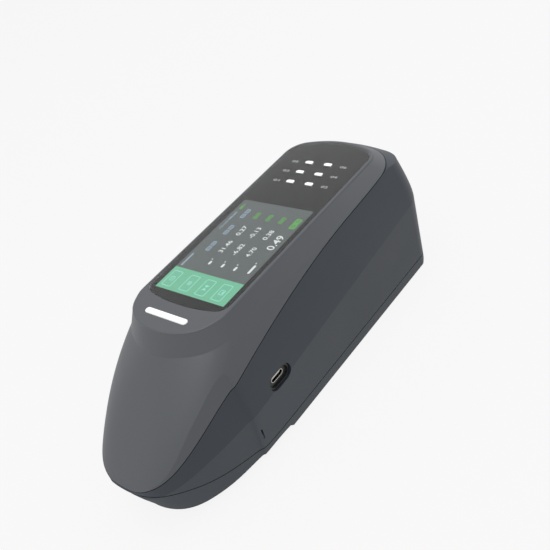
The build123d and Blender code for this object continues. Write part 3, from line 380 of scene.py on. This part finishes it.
# What each CAD node is made of. The display module's frame is black like the print
worn_by = {
    satin_grey_abs: ("upper_shell",),
    satin_slate_abs: ("lower_shell", "bottom_cover", "battery_hatch"),
    black_abs: ("usb_bezel", "power_button"),
    cover_glass: ("screen_glass",),
    opal_acrylic: ("measure_key", "status_windows"),
    glass_filled_nylon: ("display_bracket", "inner_frame"),
    solder_mask_board: (
        "key_board",
        "status_board",
        "usb_board",
        "main_board",
        "battery_board",
        "lamp_board",
        "sensor_board",
    ),
    moulded_epoxy: ("key_switch", "power_switch", "board_chips", "buzzer"),
    nickel_plated_steel: ("usb_socket", "entrance_slit"),
    tinned_sheet: ("radio_module",),
    polyimide_flex: ("display_cable",),
    heat_shrink_pvc: ("battery_pack",),
    black_anodised_aluminium: ("port_ring", "lens_barrel", "spectro_box", "spectro_lid"),
    sintered_ptfe: ("sphere_lower", "sphere_upper"),
    cast_epoxy: ("lamp_leds",),
    optical_glass: ("view_lens", "grating"),
    zinc_plated_steel: (
        "cover_screws",
        "rear_shell_screws",
        "nose_shell_screws",
        "board_screws",
    ),
    moulded_rubber: ("rubber_feet",),
    screen_print_black: ("display_module",),
}
for material, worn in worn_by.items():
    for name in worn:
        nodes[name].data.materials.clear()
        nodes[name].data.materials.append(material)


def placed(name, mesh, material):
    """Links a mesh as a piece of the housing."""
    piece = bpy.data.objects.new(name, mesh)
    bpy.context.scene.collection.objects.link(piece)
    mesh.materials.clear()
    mesh.materials.append(material)
    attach(piece, "housing")


def filled(outlines, low, thick):
    """Mesh of flat shapes given as closed outlines in mm; an outline inside one is a hole."""
    curve = bpy.data.curves.new("outline", "CURVE")
    curve.dimensions = "2D"
    curve.fill_mode = "BOTH"
    curve.extrude = thick / 2 * MM
    for outline in outlines:
        spline = curve.splines.new("POLY")
        spline.points.add(len(outline) - 1)
        for point, (x, y) in zip(spline.points, outline):
            point.co = (x * MM, y * MM, 0, 1)
        spline.use_cyclic_u = True
    carrier = bpy.data.objects.new("outline", curve)
    mesh = bpy.data.meshes.new_from_object(carrier)
    mesh.transform(Matrix.Translation((0, 0, (low + thick / 2) * MM)))
    bpy.data.objects.remove(carrier)
    bpy.data.curves.remove(curve)
    return mesh


def figures(text, box, low, thick, over=False):
    """Mesh of plain figures that fills box = (x, y, length, height) in mm.

    The figures read along +Y with their tops towards -X, as the display does, or along
    +X where they go over the housing.
    """
    curve = bpy.data.curves.new("figures", "FONT")
    curve.body = text
    curve.extrude = FIGURE_HALF_DEPTH
    curve.offset = BOLD
    carrier = bpy.data.objects.new("figures", curve)
    mesh = bpy.data.meshes.new_from_object(carrier)
    bpy.data.objects.remove(carrier)
    bpy.data.curves.remove(curve)
    wide = [v.co.x for v in mesh.vertices]
    tall = [v.co.y for v in mesh.vertices]
    size = Vector((max(wide) - min(wide), max(tall) - min(tall), 2 * FIGURE_HALF_DEPTH))
    middle = Vector(((max(wide) + min(wide)) / 2, (max(tall) + min(tall)) / 2, 0))
    x, y, length, height = box
    for vertex in mesh.vertices:
        at = vertex.co - middle
        reading, rising = at.x / size.x * length, at.y / size.y * height
        right, rear = (reading, rising) if over else (-rising, reading)
        level = low + thick / 2 + at.z / size.z * thick
        vertex.co = ((x + right) * MM, (y + rear) * MM, level * MM)
    return mesh


def joined(meshes):
    """One mesh of several."""
    work = bmesh.new()
    for mesh in meshes:
        work.from_mesh(mesh)
        bpy.data.meshes.remove(mesh)
    bmesh.ops.remove_doubles(work, verts=work.verts, dist=SAME_POINT)
    made = bpy.data.meshes.new("joined")
    work.to_mesh(made)
    work.free()
    return made


def rounded(x, y, wide, long, radius, steps=5):
    """Outline of a rectangle with round corners about (x, y), wide along X."""
    points = []
    for turn, (side, end) in enumerate(((1, 1), (-1, 1), (-1, -1), (1, -1))):
        for step in range(steps + 1):
            angle = math.radians(90 * (turn + step / steps))
            points.append(
                (
                    x + side * (wide / 2 - radius) + radius * math.cos(angle),
                    y + end * (long / 2 - radius) + radius * math.sin(angle),
                )
            )
    return points


def frame_of(x, y, wide, long, radius, line):
    """Two outlines that make a line of that width round a rounded rectangle."""
    inner_radius = max(radius - line, LEAST_RADIUS)
    return [
        rounded(x, y, wide, long, radius),
        rounded(x, y, wide - 2 * line, long - 2 * line, inner_radius),
    ]


def ring(x, y, radius, steps=20):
    """Outline of a circle about (x, y)."""
    turns = [math.tau * step / steps for step in range(steps)]
    return [(x + radius * math.cos(turn), y + radius * math.sin(turn)) for turn in turns]


def end_of_glass(tip, face_radius, corner_radius, half, way, steps=10):
    """Half of a rounded end of the glass, from its middle out to the straight side."""
    centre_y = tip - way * face_radius
    corner_x = half - corner_radius
    reach = math.sqrt((face_radius - corner_radius) ** 2 - corner_x**2)
    corner_y = centre_y + way * reach
    lean = math.atan2(corner_x, reach)
    points = []
    for step in range(steps):
        angle = lean * step / steps
        points.append(
            (face_radius * math.sin(angle), centre_y + way * face_radius * math.cos(angle))
        )
    for step in range(steps + 1):
        angle = lean + (math.pi / 2 - lean) * step / steps
        points.append(
            (
                corner_x + corner_radius * math.sin(angle),
                corner_y + way * corner_radius * math.cos(angle),
            )
        )
    return points


def glass_outline(inset):
    """The whole outline of the glass, moved in by inset."""
    front_tip, front_face, front_corner = GLASS_FRONT
    rear_tip, rear_face, rear_corner = GLASS_REAR
    half = GLASS_HALF - inset
    front = end_of_glass(front_tip + inset, front_face - inset, front_corner - inset, half, -1)
    rear = end_of_glass(rear_tip - inset, rear_face - inset, rear_corner - inset, half, 1)
    right = front + rear[::-1]
    left = [(-x, y) for x, y in right[::-1] if x > 0]
    return right + left


def on_display(along, across):
    """Row place in mm of a point given from the display's nose end and its left edge."""
    return across - DISPLAY_WIDE / 2, along + DISPLAY_MID_Y - DISPLAY_LONG / 2


def slab(along, across, length, height, radius=LEAST_RADIUS):
    """Outline of a bar on the display, long along the reading direction."""
    x, y = on_display(along, across)
    return rounded(x, y, height, length, radius)


def blocks(start, end, across, height, count=2, gap=0.5):
    """A short run of plain outlined blocks, each with a bar, in the place of a word."""
    each = (end - start - gap * (count - 1)) / count
    made = []
    for at in range(count):
        along = start + each / 2 + at * (each + gap)
        x, y = on_display(along, across)
        made += frame_of(x, y, height, each, BLOCK_CORNER, BLOCK_LINE)
        made.append(slab(along, across, each * BLOCK_BAR[0], height * BLOCK_BAR[1]))
    return made


# Black print on the back of the glass, with a window for the display and for each lamp
status_spots = [(side * STATUS_X, y) for y in STATUS_ROWS for side in (-1, 1)]
print_holes = [
    rounded(
        x,
        y,
        STATUS_SIZE[0] + STATUS_CLEAR,
        STATUS_SIZE[1] + STATUS_CLEAR,
        STATUS_SIZE[1] / 2,
    )
    for x, y in status_spots
]
display_window = rounded(
    0,
    DISPLAY_MID_Y,
    DISPLAY_WIDE + WINDOW_CLEAR,
    DISPLAY_LONG + WINDOW_CLEAR,
    NEARLY_SHARP,
)
print_outlines = [glass_outline(PRINT_INSET), display_window, *print_holes]
placed(
    "glass_back_print",
    filled(print_outlines, PRINT_LOW, LAYER),
    screen_print_black,
)

# Plain numbers beside the status windows
marks = []
for number, (x, y) in enumerate(status_spots, 1):
    out = x + math.copysign(STATUS_MARK_OUT, x)
    box = (out, y, STATUS_MARK_WIDE, STATUS_MARK_TALL)
    marks.append(figures(f"0{number}", box, NUMBER_LOW, NUMBER_LAYER, True))
placed("status_numbers", joined(marks), screen_print_grey)

# The lit image: its dark ground, and the green strip at the nose end
STRIP_LONG = 15.8
ground = rounded(0, DISPLAY_MID_Y, DISPLAY_WIDE, DISPLAY_LONG, NEARLY_SHARP)
placed("display_ground", filled([ground], IMAGE_LOW, LAYER), lit_ground)
strip = slab(STRIP_LONG / 2, DISPLAY_WIDE / 2, STRIP_LONG, DISPLAY_WIDE, NEARLY_SHARP)
placed("display_key_strip", filled([strip], STRIP_LOW, LAYER), lit_strip)

# Four soft keys across the strip, each an outlined box
KEY_ALONG = 7.6
KEY_LONG = 11.2
KEY_WIDE = 6.7
KEY_CORNER = 1.0
SIGN_LINE = 0.42
KEYS_ACROSS = (5.4, 18.2, 29.7, 41.1)

# The signs in them: a ring with a dot, a square with a dot, two arrows tip to tip, and
# a box with a bar
RING_R = 1.7
RING_LINE = 0.45
RING_DOT = 0.9
RING_DOT_R = 0.44
SQUARE = 2.4
SQUARE_DOT = 0.8
SIGN_CORNER = 0.5
ARROW_HALF = 1.5
ARROW_FAR = 1.7
ARROW_NEAR = 0.1
BOX_SIZE = (3.2, 3.4)
BOX_BAR = (1.7, 0.9)
BOX_BAR_DOWN = 0.6

key_places = [on_display(KEY_ALONG, across) for across in KEYS_ACROSS]
signs = []
for x, y in key_places:
    signs += frame_of(x, y, KEY_WIDE, KEY_LONG, KEY_CORNER, SIGN_LINE)
x, y = key_places[0]
signs += [ring(x, y, RING_R), ring(x, y, RING_R - RING_LINE)]
signs.append(rounded(x, y, RING_DOT, RING_DOT, RING_DOT_R))
x, y = key_places[1]
signs += frame_of(x, y, SQUARE, SQUARE, SIGN_CORNER, SIGN_LINE)
signs.append(rounded(x, y, SQUARE_DOT, SQUARE_DOT, NEARLY_SHARP))
x, y = key_places[2]
for way in (-1, 1):
    tip = (x, y + way * ARROW_NEAR)
    foot = y + way * ARROW_FAR
    signs.append([(x - ARROW_HALF, foot), (x + ARROW_HALF, foot), tip])
x, y = key_places[3]
signs += frame_of(x, y, BOX_SIZE[0], BOX_SIZE[1], SIGN_CORNER, SIGN_LINE)
signs.append(rounded(x + BOX_BAR_DOWN, y, BOX_BAR[1], BOX_BAR[0], NEARLY_SHARP))
placed("display_key_signs", filled(signs, FIGURE_LOW, LAYER), lit_outline)

# Readings: figures, start and end along the display, place across it, height
READINGS = (
    ("31.46", 31.9, 41.3, 17.7, 3.0),
    ("0.27", 46.0, 53.8, 17.8, 3.0),
    ("-6.82", 32.2, 40.9, 26.8, 3.0),
    ("-0.13", 46.0, 54.6, 26.9, 3.0),
    ("4.70", 33.2, 40.4, 35.6, 3.0),
    ("0.38", 46.9, 54.4, 36.0, 3.0),
    ("0.49", 41.0, 52.0, 44.2, 4.6),
)
white = []
for text, start, end, across, tall in READINGS:
    x, y = on_display((start + end) / 2, across)
    white.append(figures(text, (x, y, end - start, tall), FIGURE_LOW, LAYER))

# Row labels are plain bars, each with a small dot: middle along, place across, length
LABELS = ((23.6, 18.2, 2.6), (23.8, 27.2, 2.6), (23.8, 35.9, 2.8), (26.0, 45.2, 6.2))
LABEL_TALL = 1.5
LABEL_CORNER = 0.5
DOT = 0.8
DOT_R = 0.38
DOT_AFTER = 1.4
DOT_UP = 0.8
bars = []
for along, across, length in LABELS:
    bars.append(slab(along, across, length, LABEL_TALL, LABEL_CORNER))
    bars.append(slab(along + length / 2 + DOT_AFTER, across - DOT_UP, DOT, DOT, DOT_R))
white.append(filled(bars, FIGURE_LOW, LAYER))
placed("display_readings", joined(white), lit_white)

# Three column headings, a small line of blocks, and the date and time in figures
HEADINGS = ((31.0, 38.4, 8.8), (44.7, 52.3, 9.4), (59.0, 66.4, 9.6))
HEADING_TALL = 2.7
HEADING_GAP = 0.9
SMALL_LINE = (17.4, 26.8, 2.7, 1.3, 6, 0.35)
CLOCK_AT = (55.4, 3.0)
CLOCK_SIZE = (14.4, 1.5)
blue = []
for start, end, across in HEADINGS:
    blue += blocks(start, end, across, HEADING_TALL, 2, HEADING_GAP)
blue += blocks(*SMALL_LINE)
clock = figures("12-10 08:30", (*on_display(*CLOCK_AT), *CLOCK_SIZE), FIGURE_LOW, LAYER)
headings = joined([filled(blue, FIGURE_LOW, LAYER), clock])
placed("display_headings", headings, lit_blue)

# One result for each row, the battery's sign, and the result of the whole
RESULT_SPAN = (60.3, 65.2)
RESULTS_ACROSS = (18.0, 26.8, 35.8)
RESULT_TALL = 2.6
CELL_ACROSS = 3.2
CELL_AT = 67.2
CELL_SIZE = (1.5, 4.0)
CELL_CORNER = 0.3
CELL_LINE = 0.35
CELL_CHARGE = (66.8, CELL_ACROSS, 2.2, 0.6, NEARLY_SHARP)
CELL_TIP = (69.7, CELL_ACROSS, 0.5, 0.8, NEARLY_SHARP)
VERDICT = (58.3, 66.0, 45.3, 3.4)
green = []
for across in RESULTS_ACROSS:
    green += blocks(*RESULT_SPAN, across, RESULT_TALL)
green += frame_of(*on_display(CELL_AT, CELL_ACROSS), *CELL_SIZE, CELL_CORNER, CELL_LINE)
green += [slab(*CELL_CHARGE), slab(*CELL_TIP)]
placed("display_results", filled(green, FIGURE_LOW, LAYER), lit_green)
verdict = blocks(*VERDICT)
placed("display_verdict", filled(verdict, FIGURE_LOW, LAYER), lit_leaf)


# Studio: white surround, pale floor and two broad soft lamps
def seen_directly(tree):
    """1 where a ray comes from the camera or by a reflection or through glass."""
    path = lay(tree, "ShaderNodeLightPath")
    either = lay(
        tree,
        "ShaderNodeMath",
        wires={0: path.outputs["Is Camera Ray"], 1: path.outputs["Is Glossy Ray"]},
        operation="MAXIMUM",
    )
    any_of = lay(
        tree,
        "ShaderNodeMath",
        wires={0: either.outputs[0], 1: path.outputs["Is Transmission Ray"]},
        operation="MAXIMUM",
    )
    return any_of.outputs[0]


SURROUND_LEVEL = 0.55
WHITE = "ffffff"
OBJECT_MIDDLE = Vector((0.0, 0.0, 0.045))
LAMP_SIZE = 0.7
world = bpy.data.worlds.new("surround")
world.use_nodes = True
bpy.context.scene.world = world
sky = world.node_tree
sky.nodes.clear()
soft = lay(sky, "ShaderNodeBackground", {"Color": linear(WHITE), "Strength": SURROUND_LEVEL})
plain = lay(sky, "ShaderNodeBackground", {"Color": linear(WHITE), "Strength": 1.0})
both = lay(
    sky,
    "ShaderNodeMixShader",
    wires={0: seen_directly(sky), 1: soft.outputs[0], 2: plain.outputs[0]},
)
lay(sky, "ShaderNodeOutputWorld", wires={"Surface": both.outputs[0]})

FLOOR_HALF = 4.0
FLOOR_LEVEL = -0.0001
FLOOR_GLOW_SHARE = 0.88
corners = ((-1, -1), (1, -1), (1, 1), (-1, 1))
floor_mesh = bpy.data.meshes.new("studio_floor")
floor_mesh.from_pydata(
    [(x * FLOOR_HALF, y * FLOOR_HALF, FLOOR_LEVEL) for x, y in corners], [], [(0, 1, 2, 3)]
)
floor = bpy.data.objects.new("studio_floor", floor_mesh)
bpy.context.scene.collection.objects.link(floor)
# Painted board that shows white and keeps a faint shadow. It can be seen through from
# below
painted_board, board = fresh_material("white_painted_board")
paint = lay(board, "ShaderNodeBsdfDiffuse", {"Color": linear("c8c8c8")})
glow = lay(board, "ShaderNodeEmission", {"Color": linear(WHITE), "Strength": 1.0})
share = lay(
    board,
    "ShaderNodeMath",
    {1: FLOOR_GLOW_SHARE},
    {0: seen_directly(board)},
    operation="MULTIPLY",
)
top = lay(
    board,
    "ShaderNodeMixShader",
    wires={0: share.outputs[0], 1: paint.outputs[0], 2: glow.outputs[0]},
)
under = lay(board, "ShaderNodeBsdfTransparent")
side = lay(board, "ShaderNodeNewGeometry")
sheet = lay(
    board,
    "ShaderNodeMixShader",
    wires={0: side.outputs["Backfacing"], 1: top.outputs[0], 2: under.outputs[0]},
)
lay(board, "ShaderNodeOutputMaterial", wires={"Surface": sheet.outputs[0]})
floor_mesh.materials.append(painted_board)


def soft_lamp(name, at, watts):
    """A broad square lamp at a place in metres, turned towards the object."""
    data = bpy.data.lights.new(name, "AREA")
    data.size = LAMP_SIZE
    data.energy = watts
    lamp = bpy.data.objects.new(name, data)
    lamp.location = at
    lamp.rotation_euler = (OBJECT_MIDDLE - Vector(at)).to_track_quat("-Z", "Y").to_euler()
    bpy.context.scene.collection.objects.link(lamp)


soft_lamp("key_lamp", (0.1, -0.2, 0.95), 3.4)
soft_lamp("rear_lamp", (0.1, 0.85, 0.6), 1.2)

# Camera at the photograph's angle: its right, up and back directions and its place
RIGHT = Vector((0.73917, 0.59355, -0.31832))
UP = Vector((-0.18977, 0.63701, 0.74713))
BACK = Vector((0.64623, -0.49185, 0.58350))
CAMERA_PLACE = Vector((273.3, -187.65, 297.9)) * MM
FOCAL_PIXELS = 784.03
IMAGE_PIXELS = 550
SENSOR_WIDTH = 36.0
NEAREST = 0.01
FARTHEST = 20.0
camera_data = bpy.data.cameras.new("camera")
camera_data.sensor_width = SENSOR_WIDTH
camera_data.lens = FOCAL_PIXELS / IMAGE_PIXELS * SENSOR_WIDTH
camera_data.clip_start = NEAREST
camera_data.clip_end = FARTHEST
camera = bpy.data.objects.new("camera", camera_data)
turn = Matrix((RIGHT, UP, BACK)).transposed().to_4x4()
camera.matrix_world = Matrix.Translation(CAMERA_PLACE) @ turn
bpy.context.scene.collection.objects.link(camera)
bpy.context.scene.camera = camera
bpy.context.scene.view_settings.view_transform = "Standard"
